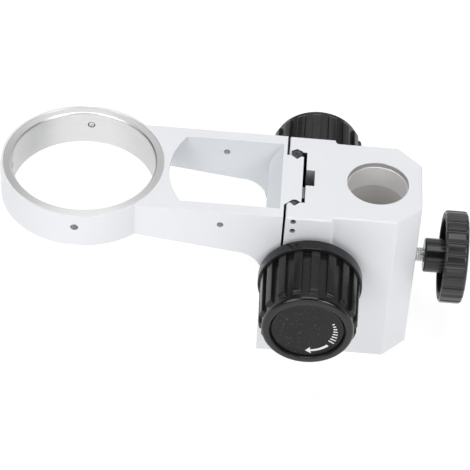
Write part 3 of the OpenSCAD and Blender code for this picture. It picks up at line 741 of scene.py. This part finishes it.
def threaded(name, place, length, r, pitch, depth, materials, step=0.12, n=40, tip=0.5, socket=0.0, cup=0.0):
    """Screw with a helical thread along local Z, tip at 0; socket is a hex across flats at the far end."""
    rows = []

    def ring(rad, h):
        return [place @ Vector((rad(2 * math.pi * k / n) * math.cos(2 * math.pi * k / n),
                                rad(2 * math.pi * k / n) * math.sin(2 * math.pi * k / n), h)) for k in range(n)]

    def crest(h):
        def rad(t):
            f = (h / pitch - t / (2 * math.pi)) % 1.0
            u = abs(f - 0.5) * 2      # 0 at the crest, 1 at the root
            return r - depth * min(1.0, max(0.0, (u - 0.12) / 0.72)) 
        return rad
    if cup:
        rows.append(ring(lambda t: 0.001, cup))
        rows.append(ring(lambda t: r * 0.40, 0.02))
        rows.append(ring(lambda t: r * 0.46, 0.0))
    else:
        rows.append(ring(lambda t: 0.001, 0.0))
    core = r - depth
    rows.append(ring(lambda t: core - tip * 0.6, 0.0))
    rows.append(ring(lambda t: core, tip * 0.8))
    h = tip
    while h < length - 0.35:
        fade = min(1.0, (h - tip) / pitch)
        top_fade = min(1.0, (length - 0.35 - h) / (0.5 * pitch) + 0.1)
        f = crest(h)
        rows.append(ring(lambda t, f=f, fade=fade, top_fade=top_fade: core + (f(t) - core) * fade * top_fade, h))
        h += step
    rows.append(ring(lambda t: core, length - 0.3))
    rows.append(ring(lambda t: core - 0.3, length))
    if socket:
        def hexa(t):
            q = (math.degrees(t) % 60.0) - 30.0
            return socket / 2 / math.cos(math.radians(q))
        rows.append(ring(lambda t: hexa(t) + 0.12, length))
        rows.append(ring(hexa, length - 0.1))
        rows.append(ring(hexa, length * 0.55 + 0.35))
        rows.append(ring(lambda t: 0.001, length * 0.55))
    else:
        rows.append(ring(lambda t: 0.001, length))
    ob = wrap(name, rows, False, materials)
    return soften(ob, 40)


def bar(name, outline):
    ob = prism(name, [(x, y, 1.0, 1.0) for x, y in outline], 1.5, 100.5)
    bevel(ob, 0.22, 2)
    dress(ob, BAR)
    return soften(ob, 25)


# ------------------------------------------------------------- build and ride
def place(ob, body, slot, *replaced):
    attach(ob, body)
    if replaced:
        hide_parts(*replaced)


place(focus_casting(), "focus_block", "white_casting", "focus_body")
place(ring_carriage(), "carriage", "white_casting", "ring_carriage")
place(bar("slide_bar_far", [(-43.8, 14.3), (-40.8, 17.4), (-40.8, 20.6), (-43.8, 22.4), (-46.8, 20.6), (-46.8, 17.4)]),
      "focus_block", "black_bar", "guide_bar_far")
place(bar("slide_bar_near", [(-43.75, -22.5), (-41.1, -19.85), (-42.8, -18.05), (-44.7, -18.05), (-46.4, -19.85)]),
      "focus_block", "black_bar", "gib_bar_near")
place(focus_knob("tension_grip", -1, -7.0, 9.5, 35.1), "tension", "black_plastic", "tension_knob")
place(focus_knob("far_grip", 1, 6.4, 8.0, 33.5), "pinion", "black_plastic", "far_knob")
place(knob_cap("tension_disc", -1), "tension", "cap_plastic", "tension_knob_cap")
place(knob_cap("far_disc", 1), "pinion", "cap_plastic", "far_knob_cap")
place(cap_print("tension_marks"), "tension", "cap_plastic")
place(clamp_knob(), "clamp", "black_plastic", "clamp_knob")
place(threaded("clamp_thread", frame_along((19.8, 0, CLAMP_Z), (1, 0, 0)), 30.1 - 0.9, 3.98, 1.25, 0.68, [ZINC], n=56, tip=0.8,
               step=0.1),
      "clamp", "steel", "clamp_screw")
for key, d, start, length in (("near", (0, -1, 0), 38.4, 4.0), ("far", (0, 1, 0), 38.4, 12.5), ("left", (-1, 0, 0), 38.4, 4.0)):
    base = Vector((RING_X, 0, TOP - 8.2)) + Vector(d) * start
    place(threaded("set_screw_" + key, frame_along(base, d), length, 1.98, 0.7, 0.34, [SET_STEEL], step=0.09, n=36, tip=0.4,
                   socket=2.0, cup=0.5), "ring_lock_" + key, "steel", "ring_screw_" + key)

finishes = {"gib_screws": BLACK_SCREW, "rack": STEEL, "rack_screws": BLACK_SCREW, "pinion_shaft": STEEL, "spring_washer": STEEL,
            "far_knob_screw": BLACK_SCREW, "shaft_bush_near": BRASS, "shaft_bush_far": BRASS, "tension_knob_insert": BRASS,
            "far_knob_insert": BRASS, "clamp_shoe": BRASS, "friction_washer_near": WASHER, "friction_washer_far": WASHER}
for name, mat in finishes.items():
    for slot in nodes[name].material_slots:
        slot.material = mat

# ------------------------------------------------------------ floor and light
def floor():
    ob = link("floor", [(-6, -6, 0), (6, -6, 0), (6, 6, 0), (-6, 6, 0)], [(0, 1, 2, 3)])
    ob.location.z = -0.0004
    m = Nodes("pale_floor")
    obj = m.coord.outputs["Object"]
    tone = m.blend(m.spread(m.noise(obj, 3.0, 2.0), 0.3, 0.7, 0.0, 1.0), (0.36, 0.36, 0.36), (0.34, 0.34, 0.34))
    m.finish(tone, m.spread(m.noise(obj, 9.0, 2.0), 0.3, 0.7, 0.75, 0.85), spec=0.2)
    m.bsdf.inputs["Emission Color"].default_value = (1, 1, 1, 1)
    m.bsdf.inputs["Emission Strength"].default_value = 0.76
    ob.data.materials.append(m.mat)


def world():
    """Plain studio: a pale band round the horizon and a dark ceiling between the soft panels."""
    w = bpy.data.worlds.new("studio")
    scene.world = w
    w.use_nodes = True
    t = w.node_tree
    t.nodes.clear()
    out = t.nodes.new("ShaderNodeOutputWorld")
    bg = t.nodes.new("ShaderNodeBackground")
    where = t.nodes.new("ShaderNodeTexCoord")
    split = t.nodes.new("ShaderNodeSeparateXYZ")
    ramp = t.nodes.new("ShaderNodeMapRange")
    ramp.interpolation_type = "SMOOTHSTEP"
    for name, value in (("From Min", 0.15), ("From Max", 0.45), ("To Min", 0.50), ("To Max", 0.05)):
        ramp.inputs[name].default_value = value
    t.links.new(where.outputs["Generated"], split.inputs[0])
    t.links.new(split.outputs[2], ramp.inputs["Value"])
    t.links.new(ramp.outputs[0], bg.inputs["Strength"])
    bg.inputs["Color"].default_value = (0.98, 0.99, 1.0, 1)
    t.links.new(bg.outputs[0], out.inputs[0])


def softbox(name, azimuth, elevation, distance, size, radiance, color=(1, 1, 1)):
    """Soft panel aimed at the object; azimuth 0 is in front of it (-Y), 90 on its +X side."""
    a, e = math.radians(azimuth), math.radians(elevation)
    target = Vector((-0.06, 0.0, 0.07))
    where = target + Vector((math.sin(a) * math.cos(e), -math.cos(a) * math.cos(e), math.sin(e))) * distance
    data = bpy.data.lights.new(name, "AREA")
    data.shape = "RECTANGLE"
    data.size, data.size_y = size
    data.energy = radiance * size[0] * size[1] * math.pi
    data.color = color
    ob = bpy.data.objects.new(name, data)
    ob.location = where
    ob.rotation_euler = (target - where).to_track_quat("-Z", "Y").to_euler()
    scene.collection.objects.link(ob)


floor()
world()
for spec in (("top_box", 0, 90, 1.3, (0.8, 0.8), 2.85), ("front_left_box", -45, 40, 1.6, (0.8, 0.8), 4.0),
             ("front_right_box", 45, 40, 1.6, (0.8, 0.8), 4.35), ("front_low_box", 0, 15, 1.7, (1.2, 0.6), 1.2),
             ("back_box", 180, 30, 1.7, (1.4, 0.8), 0.95), ("back_high_box", 180, 62, 1.5, (1.0, 0.7), 0.95),
             ("left_high_box", -90, 55, 1.5, (0.8, 0.8), 1.05), ("rear_right_box", 135, 35, 1.6, (0.8, 0.8), 0.35)):
    softbox(*spec)

# ---------------------------------------------------------------------- camera
az, el, roll = (math.radians(v) for v in (0.6260, 43.7459, 4.1749))
back = Vector((math.sin(az) * math.cos(el), -math.cos(az) * math.cos(el), math.sin(el)))
right = Vector((0, 0, 1)).cross(back).normalized()
up = back.cross(right)
right, up = right * math.cos(roll) + up * math.sin(roll), up * math.cos(roll) - right * math.sin(roll)
cam = bpy.data.cameras.new("camera")
cam.sensor_fit = "HORIZONTAL"
cam.sensor_width = 36.0
cam.lens = 159.621
cam.clip_start = 0.05
cam.clip_end = 50.0
camera = bpy.data.objects.new("camera", cam)
m = Matrix((right, up, back)).transposed().to_4x4()
m.translation = Vector((-0.064843, -0.823426, 0.842892))
camera.matrix_world = m
scene.collection.objects.link(camera)
scene.camera = camera
scene.view_settings.view_transform = "Standard"
scene.view_settings.look = "None"
scene.view_settings.exposure = 0.0
scene.view_settings.gamma = 1.0
